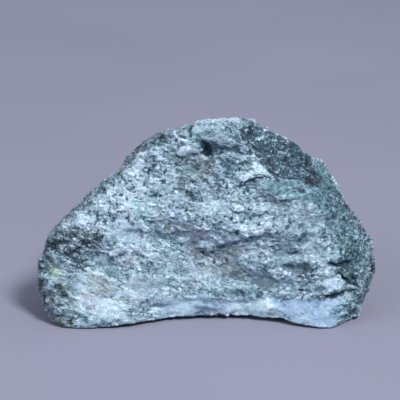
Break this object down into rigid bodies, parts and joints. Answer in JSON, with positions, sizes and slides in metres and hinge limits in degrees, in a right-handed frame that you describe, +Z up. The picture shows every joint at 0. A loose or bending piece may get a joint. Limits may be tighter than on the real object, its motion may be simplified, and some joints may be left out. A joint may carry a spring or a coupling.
{
  "type": "raw larimar stone",
  "caption": "Rough lump of layered blue, white and teal larimar in dark crust, broad broken face leaning back, resting on low feet.",
  "frame": {"origin": "on the floor, under the middle of the stone's bounding box", "axes": "+Z up; +X along the broken front face, from its long low end to its steep end; +Y from the front face to the crusted back"},
  "size_m": [0.1498, 0.082, 0.0878],
  "materials": {
    "larimar": "rough, uneven broken surface with a faint silky sheen"
  },
  "bodies": {
    "root": {"larimar_stone": "larimar"}
  },
  "joints": []
}
